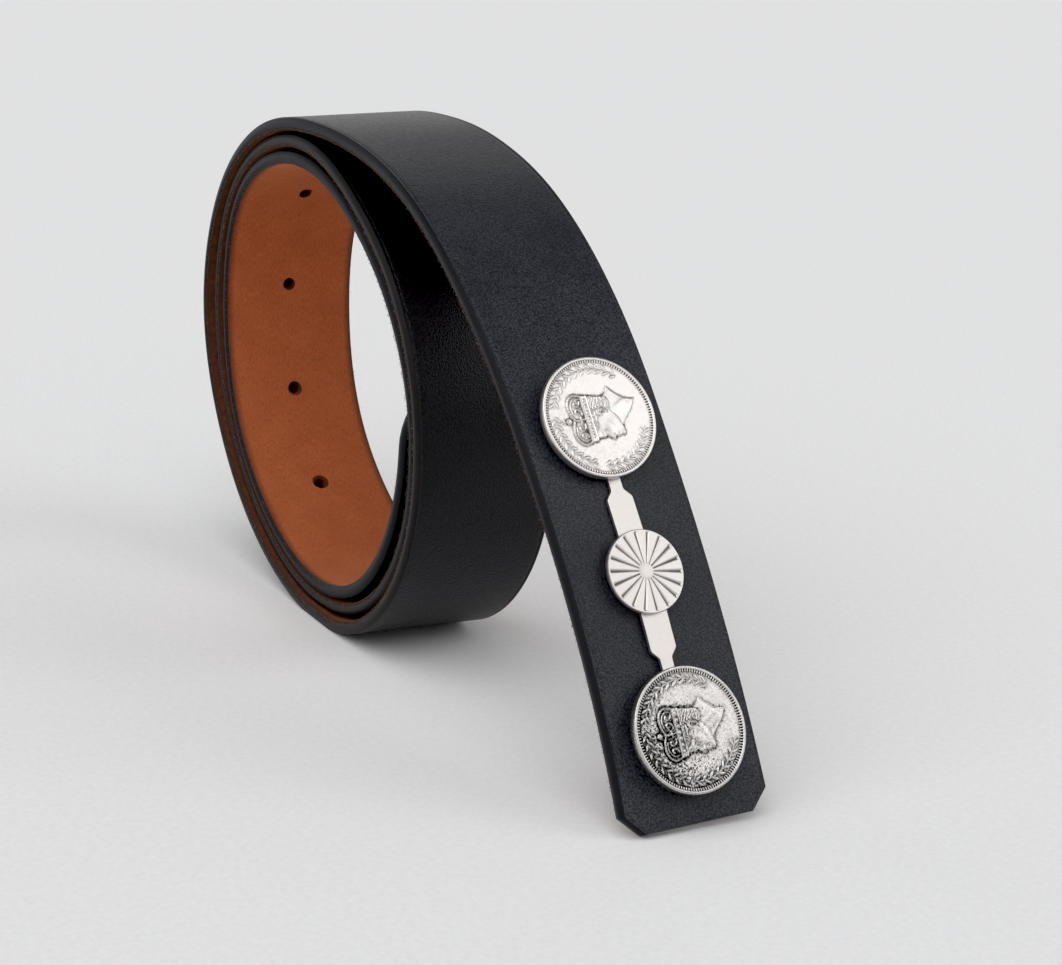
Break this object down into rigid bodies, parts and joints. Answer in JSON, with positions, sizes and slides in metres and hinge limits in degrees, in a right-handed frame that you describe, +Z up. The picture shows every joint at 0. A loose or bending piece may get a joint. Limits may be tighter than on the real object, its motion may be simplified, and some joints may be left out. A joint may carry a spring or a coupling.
{
  "type": "coin belt",
  "caption": "Leather belt strap in a roll that stands on its outer turn, its free end arched over onto its tip and carrying relief coins joined by a sunburst link.",
  "frame": {"origin": "middle of the base: bottom centre of the bounding box, on the surface that the belt stands on", "axes": "+X from the roll towards the free tip, +Y across the strap, +Z up"},
  "size_m": [0.2482, 0.0466, 0.1326],
  "materials": {
    "black_leather": "satin full grain outside, tan suede flesh side, dark painted edges",
    "bright_nickel": "bright cast and plated",
    "tarnished_nickel": "plated, with dark tarnish in the recesses",
    "satin_nickel": "satin cast and plated",
    "post_steel": "plain turned"
  },
  "bodies": {
    "root": {"strap": "black_leather", "sunburst_link": "satin_nickel", "coin_upper": "bright_nickel", "coin_lower": "tarnished_nickel", "post_upper": "post_steel", "post_lower": "post_steel"}
  },
  "joints": []
}
